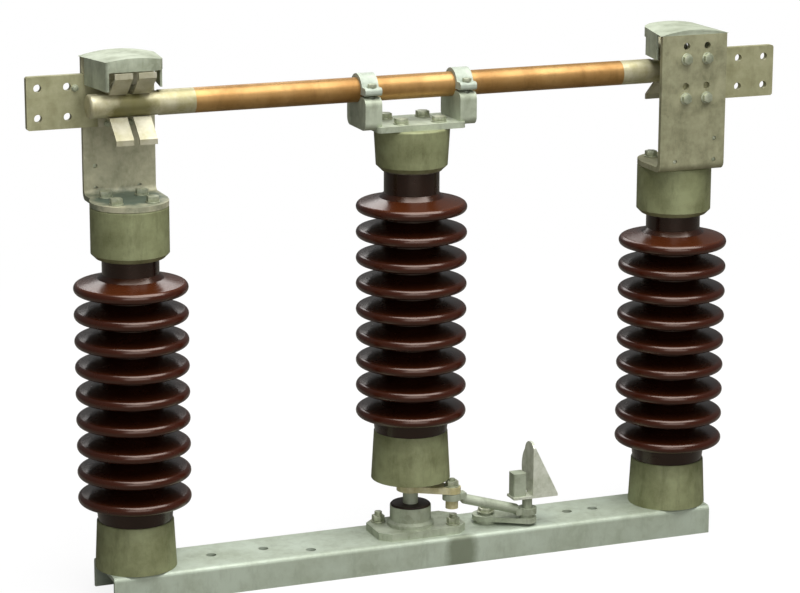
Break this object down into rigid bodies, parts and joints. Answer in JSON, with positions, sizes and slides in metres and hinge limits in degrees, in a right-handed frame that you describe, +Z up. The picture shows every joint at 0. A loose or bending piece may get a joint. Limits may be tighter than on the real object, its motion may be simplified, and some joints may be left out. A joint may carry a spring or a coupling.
{
  "type": "substation disconnect switch",
  "caption": "Single-pole centre-rotating double side-break disconnect switch: brown porcelain posts on a galvanised base beam, copper blade, hooded finger contacts and a drive rod with crank.",
  "frame": {"origin": "centre of the base beam's footprint on the ground, on the axis of the turning centre column", "axes": "+X along the base beam toward the right-hand column, -Y toward the side with the drive rod, +Z up"},
  "size_m": [1.18, 0.172, 0.83],
  "materials": {
    "galvanised_steel": "hot-dip galvanised, weathered and dull",
    "cap_iron": "galvanised malleable iron, greenish grey",
    "porcelain": "glossy dark brown glaze",
    "copper": "bare copper tube, lightly tarnished",
    "silvered_copper": "silver-plated copper, satin",
    "contact_copper": "tinned copper, dull yellowish grey",
    "seal_rubber": "dark weathered seal"
  },
  "bodies": {
    "base": {"base_beam": "galvanised_steel", "bearing_plate": "galvanised_steel", "bearing_housing": "cap_iron", "bearing_seal": "seal_rubber", "crank_pedestal": "galvanised_steel", "left_bottom_cap": "cap_iron", "left_porcelain": "porcelain", "left_top_cap": "cap_iron", "left_jaw_bracket": "galvanised_steel", "left_terminal_bar": "contact_copper", "left_upper_fingers": "silvered_copper", "left_lower_fingers": "silvered_copper", "left_hood": "galvanised_steel", "right_bottom_cap": "cap_iron", "right_porcelain": "porcelain", "right_top_cap": "cap_iron", "right_jaw_bracket": "galvanised_steel", "right_terminal_bar": "contact_copper", "right_upper_fingers": "silvered_copper", "right_lower_fingers": "silvered_copper", "right_hood": "galvanised_steel"},
    "rotor": {"rotor_shaft": "galvanised_steel", "drive_lever": "galvanised_steel", "centre_bottom_cap": "cap_iron", "centre_porcelain": "porcelain", "centre_top_cap": "cap_iron", "blade_saddle": "galvanised_steel", "left_strap": "cap_iron", "right_strap": "cap_iron", "blade_tube": "copper", "left_blade_contact": "silvered_copper", "right_blade_contact": "silvered_copper"},
    "rod": {"drive_rod": "galvanised_steel"},
    "crank": {"crank_arm": "galvanised_steel", "crank_horn": "galvanised_steel", "crank_block": "galvanised_steel"}
  },
  "joints": [
    {"name": "column_turn", "type": "hinge", "parent": "base", "child": "rotor", "pos_m": [0, 0, 0.09], "axis": [0, 0, 1], "range_deg": [0, 90]},
    {"name": "rod_turn", "type": "hinge", "parent": "rotor", "child": "rod", "pos_m": [0.055, -0.038, 0.108], "axis": [0, 0, 1], "range_deg": [-90, 0]},
    {"name": "crank_turn", "type": "hinge", "parent": "base", "child": "crank", "pos_m": [0.13, 0, 0.055], "axis": [0, 0, 1], "range_deg": [0, 90]}
  ],
  "couplings": [
    {"joint": "rod_turn", "follows": "column_turn", "ratio": -1},
    {"joint": "crank_turn", "follows": "column_turn", "ratio": 1}
  ]
}
